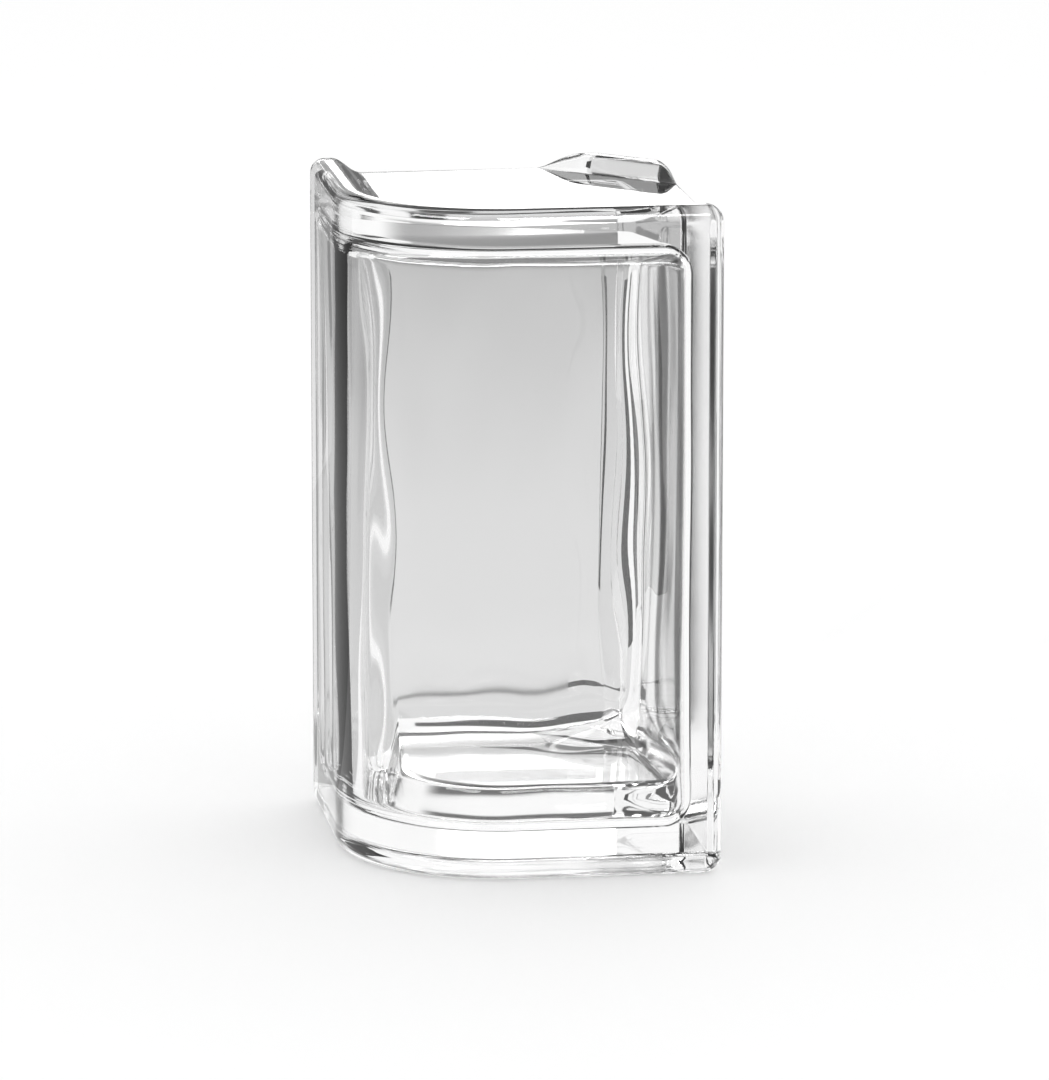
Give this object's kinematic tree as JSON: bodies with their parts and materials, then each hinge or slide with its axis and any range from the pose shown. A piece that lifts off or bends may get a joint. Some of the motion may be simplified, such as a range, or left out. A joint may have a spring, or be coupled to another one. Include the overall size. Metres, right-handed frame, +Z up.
{
  "type": "corner glass block",
  "caption": "Hollow clear glass block for a right-angled wall corner, with a rounded outer face, a narrow flat inner face and a mortar groove all round.",
  "frame": {"origin": "middle of the footprint's bounding box, on the floor plane that the rims stand on", "axes": "+Z up; the block is symmetric about x = 0, its rounded corner faces -Y and its narrow inner face +Y; the mortar ends face 45 degrees either side of +Y"},
  "size_m": [0.1438, 0.1106, 0.19],
  "materials": {
    "pressed_glass": "clear pressed soda-lime glass, fire-polished, smooth with slight ripples"
  },
  "bodies": {
    "root": {"outer_dish": "pressed_glass", "inner_dish": "pressed_glass"}
  },
  "joints": []
}
